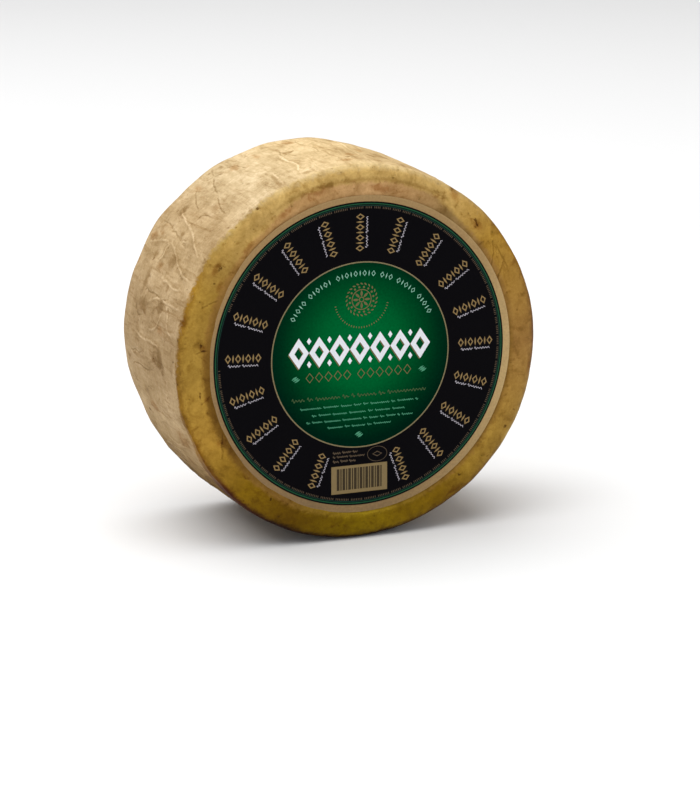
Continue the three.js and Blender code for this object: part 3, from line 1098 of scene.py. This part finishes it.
gold_film = InkFilm("label_gold_marks", PAPER + 2 * INK)
script_film = InkFilm("label_white_script", PAPER + 2 * INK)
title_film = InkFilm("label_white_frieze", PAPER + 3 * INK)
arch_film = InkFilm("label_pale_arch", PAPER + 2 * INK)
brown_film = InkFilm("label_brown_marks", PAPER + 2 * INK)
faint_film = InkFilm("label_faint_line", PAPER + 2 * INK)
pale_film = InkFilm("label_pale_script", PAPER + 2 * INK)
tan_film = InkFilm("label_tan_block", PAPER + INK)
stripe_film = InkFilm("label_dark_stripes", PAPER + 2 * INK)
small_film = InkFilm("label_small_print", PAPER + INK)

# %% Nineteen marks on the black ring
PLACES = 19
PLACE_STEP = 17.76
FIRST_PLACE = 89.1 - (PLACES - 1) / 2 * PLACE_STEP
for place_number in range(PLACES):
    degree = FIRST_PLACE + place_number * PLACE_STEP
    turn = degree if degree < 90 else degree + 180
    along, up = polar(1.0, turn), polar(1.0, turn + 90)
    middle = polar(64.3, degree)
    for i in range(-3, 4):
        place = middle + 1.45 * up + 2.72 * i * along
        if i % 2:
            gold_film.frame(lozenge(3.3, 4.8), lozenge(1.9, 2.8), place, turn)
        else:
            gold_film.solid(leaf(4.5, 0.85), place, turn + 90)
    script_film.stroke(pen_line(6.6, 0.55, 1.5, 0.27), middle - 2.35 * up - 4.7 * along, turn)
    script_film.stroke(pen_line(8.6, 0.50, 1.5, 0.27), middle - 2.35 * up + 3.9 * along, turn)

# %% Centre: frieze, row of lozenges, leaves and pen lines
FRIEZE_STEP = 11.2
for i in range(7):
    x = FRIEZE_STEP * (i - 3) - 0.5
    brown_film.frame(lozenge(11.0, 16.4), lozenge(4.6, 7.0), (x - 0.45, 3.1))
    title_film.frame(lozenge(11.0, 16.2), lozenge(4.8, 7.0), (x, 3.6))
for i in range(6):
    x = FRIEZE_STEP * (i - 2.5) - 0.5
    title_film.solid(lozenge(2.5, 3.7), (x, 9.7))
    title_film.solid(lozenge(2.5, 3.7), (x, -2.5))
for i in range(11):
    word_gap = 2.6 if i > 4 else 0.0
    brown_film.frame(lozenge(4.5, 5.6), lozenge(3.5, 4.35), (-28.2 + 5.15 * i + word_gap, -9.7))
for x, y in ((-35.8, -9.9), (34.4, -10.2), (-1.0, -42.1)):
    for i in (-1, 0, 1):
        pale_film.solid(leaf(3.6, 0.9), (x + 0.8 * i, y - 0.7 * i), 30)

pen_words(faint_film, (7.0, 3.2, 13.5, 3.6, 1.8, 10.5, 3.6, 21.5), -38.0, -21.2, 0.8, 1.75, 0.42, 1.4)
for lengths, left, y, gap in (
    ((11.5, 8.5, 6.0, 4.0, 2.8, 10.5, 2.2, 9.0, 1.4), -33.4, -26.1, 1.2),
    ((2.4, 6.5, 7.8, 9.2, 2.6, 8.4, 6.8), -27.0, -30.0, 1.3),
    ((2.0, 5.6, 9.0, 10.4, 2.2, 5.0, 2.4, 5.2, 1.3, 6.0), -30.0, -33.6, 1.1),
    ((8.4, 2.6, 7.4, 2.4, 9.6), -18.4, -37.2, 1.2),
):
    pen_words(pale_film, lengths, left, y, 0.45, 1.15, 0.30, gap)

# %% Centre: the arch and the rosette
ARCH_WORDS = (5, 6, 9, 3, 5, 5)
ARCH_START, ARCH_END = 149.6, 28.2
arch_step = (ARCH_START - ARCH_END) / (sum(ARCH_WORDS) + len(ARCH_WORDS) - 2)
degree = ARCH_START
for word in ARCH_WORDS:
    for i in range(word):
        if i % 2:
            arch_film.solid(leaf(3.1, 0.62), polar(43.1, degree), degree)
        else:
            arch_film.frame(lozenge(2.3, 3.2), lozenge(1.5, 2.1), polar(43.1, degree), degree - 90)
        degree -= arch_step
    degree -= arch_step

ROSETTE = np.array([0.4, 29.3])
brown_film.frame(oval(11.0, 11.0), oval(10.0, 10.0), ROSETTE)
brown_film.frame(oval(3.0, 3.0, 16), oval(1.9, 1.9, 16), ROSETTE)
for i in range(8):
    brown_film.solid(leaf(3.4, 1.3), ROSETTE + polar(3.2, 45 * i), 45 * i)
for i in range(16):
    brown_film.solid(oval(1.15, 1.15, 10), ROSETTE + polar(6.6, 22.5 * i + 11.25))
for i in range(24):
    brown_film.solid(leaf(1.9, 0.8, 6), ROSETTE + polar(8.3, 15 * i), 15 * i + 55)
for i in range(29):
    degree = 191 + 158 / 28 * i
    brown_film.solid(leaf(1.3, 0.55, 5), ROSETTE + polar(14.6, degree), degree)

# %% The striped block, the oval ring and the small print
BLOCK = (-0.8, -65.85)
tan_film.solid(bar(31.2, 14.9), BLOCK)
for i in range(8):
    for offset, width in ((0.75, 1.5), (2.35, 0.7)):
        stripe_film.solid(bar(width, 11.6), (BLOCK[0] - 12.6 + 3.2 * i + offset, BLOCK[1] + 0.2))
small_film.frame(oval(11.2, 8.2), oval(10.7, 7.7), (9.2, -53.5))
small_film.frame(lozenge(5.6, 3.0), lozenge(4.4, 2.0), (9.2, -53.5))
pen_words(small_film, (4.2, 5.0, 2.6), -15.4, -51.2, 0.5, 1.1, 0.42, 0.9)
pen_words(small_film, (1.2, 6.2, 8.4), -15.4, -53.4, 0.45, 1.0, 0.36, 0.9)
pen_words(small_film, (3.2, 4.0, 3.4), -15.4, -55.8, 0.55, 1.1, 0.42, 0.9)

RIM_START, RIM_END, RIM_RADIUS = 158.0, -179.0, 77.15
degree, group = RIM_START, 5
while degree > RIM_END:
    small_film.solid(bar(0.36, 1.05), polar(RIM_RADIUS, degree), degree - 90)
    group -= 1
    degree -= 0.72 if group else 1.35
    if not group:
        group = 4 + int(degree * 7) % 5

films = (gold_film, script_film, title_film, arch_film, brown_film, faint_film, pale_film, tan_film,
         stripe_film, small_film)
printed = {film.name: film.piece() for film in films}
for name, film in printed.items():
    print(name, "faces", len(film.data.polygons), "volume in mm3", round(inside_volume(film.data) * 1e9, 2))

# %% [markdown]
# ## Inks and paper
#
# Coated paper and offset ink have an index of refraction near 1.5. The inks here are nearly matt, so the
# black stays deep from every side. The green is printed as a soft round glow, bright in the middle and dark
# at its ring. The gold is a dull bronze ink, more paint than metal. Each ink is a little uneven over the
# paper's fibres, 1.2 mm across, and the margin paper also has fibres of its own and painted light and
# shade:
# paler at its right and along its outer edge, darker at its foot.

# %% Label materials
def ink_material(name, colour, gloss, uneven=0.12):
    """A printed ink: its colour times a fine noise, on a faintly fibrous surface."""
    material = empty_material(name)
    where = node(material, "TexCoord", output="Object")
    fibre = node(material, "TexNoise", {"Vector": where, "Scale": 1 / (1.2 * MM), "Detail": 3.0})
    tone = node(material, "MapRange", {"Value": fibre, "From Min": 0.3, "From Max": 0.7,
                                       "To Min": 1 - uneven, "To Max": 1 + uneven})
    if not isinstance(colour, str):
        colour_in = colour(material, where)
    else:
        colour_in = linear(colour)
    tinted = node(material, "Mix", {"Factor": 1.0, "A": colour_in, "B": tone}, **TIMES)
    bump = node(material, "Bump", {"Height": fibre, "Strength": 0.2, "Distance": 0.05 * MM})
    shader = node(material, "BsdfPrincipled", {
        "Base Color": tinted, "Roughness": 0.5, "IOR": 1.5, "Specular IOR Level": gloss, "Normal": bump,
    })
    node(material, "OutputMaterial", {"Surface": shader})
    return material


def green_glow(material, where):
    """Green that darkens with the distance from a point a little above the middle of the label."""
    centred = node(material, "Mapping", {"Vector": where, "Scale": (1.0, 0.0, 1.0),
                                         "Location": (0.0, 0.0, -5 * MM - AXIS_HEIGHT)})
    reach = node(material, "VectorMath", {0: centred}, operation="LENGTH")
    reach = node(material, "Math", {0: reach, 1: 52 * MM}, operation="DIVIDE")
    return node(material, "ValToRGB", {"Fac": reach}, stops=[
        (0.0, "006533"), (0.22, "00612F"), (0.42, "005A2B"), (0.56, "004B24"), (0.83, "002D18"),
        (0.97, "002014"),
    ])


def margin_tan(material, where):
    """Tan paper with blotches 9 mm wide and a paler outer edge, a painted highlight along the crown;
    painted light makes it paler at its right, and painted shade darker and browner at its foot.
    """
    centred = node(material, "Mapping", {"Vector": where, "Scale": (1.0, 0.0, 1.0),
                                         "Location": (0.0, 0.0, -AXIS_HEIGHT)})
    blotches = node(material, "TexNoise", {"Vector": where, "Scale": 1 / (9 * MM), "Detail": 4.0})
    reach = node(material, "VectorMath", {0: centred}, operation="LENGTH")
    reach = node(material, "MapRange", {"Value": reach, "From Min": 82.6 * MM, "From Max": 84.2 * MM})
    tan = node(material, "Mix", {"Factor": reach, "A": linear("987A4D"), "B": linear("A68A5A")}, **BLEND)
    # Painted light towards the right and painted shade towards the foot, their edges broken by the
    # blotches.
    for way, near_mm, far_mm, most, tint in (((0.96, 0.0, -0.26), 70, 125, 1.0, "B79A66"),
                                             ((-0.35, 0.0, -0.94), 20, 130, 0.8, "705838")):
        part = node(material, "VectorMath", {0: centred, 1: way}, output="Value", operation="DOT_PRODUCT")
        part = node(material, "Math", {0: blotches, 1: 60 * MM, 2: part}, operation="MULTIPLY_ADD")
        part = node(material, "MapRange", {"Value": part, "From Min": near_mm * MM,
                                           "From Max": far_mm * MM, "To Max": most})
        tan = node(material, "Mix", {"Factor": part, "A": tan, "B": linear(tint)}, **BLEND)
    return tan


inks = {
    label_paper: ink_material("tan_coated_paper", margin_tan, 0.3),
    black_print: ink_material("black_offset_ink", "060508", 0.03),
    green_print: ink_material("green_vignette_ink", green_glow, 0.0),
    gold_ring: ink_material("bronze_ring_ink", "7C7050", 0.15),
    green_line: ink_material("green_line_ink", "144A2E", 0.1),
    thin_green_line: ink_material("teal_line_ink", "10382E", 0.1),
    printed["label_gold_marks"]: ink_material("bronze_gold_ink", "8A7249", 0.15),
    printed["label_white_script"]: ink_material("soft_white_ink", "B6B1BA", 0.15),
    printed["label_white_frieze"]: ink_material("white_offset_ink", "E2E4EA", 0.15, 0.04),
    printed["label_pale_arch"]: ink_material("mint_ink", "86B8A2", 0.15),
    printed["label_brown_marks"]: ink_material("brown_gold_ink", "6A5E3A", 0.15),
    printed["label_faint_line"]: ink_material("olive_ink", "3E5430", 0.15),
    printed["label_pale_script"]: ink_material("pale_green_ink", "489270", 0.15),
    printed["label_tan_block"]: ink_material("tan_block_ink", "806D48", 0.15, 0.05),
    printed["label_dark_stripes"]: ink_material("dark_brown_ink", "3A3020", 0.1),
    printed["label_small_print"]: ink_material("small_print_ink", "584A3A", 0.1),
}
for piece, material in inks.items():
    piece.data.materials.append(material)
    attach(piece, "root")
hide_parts("face_label")
print("label pieces:", len(inks))
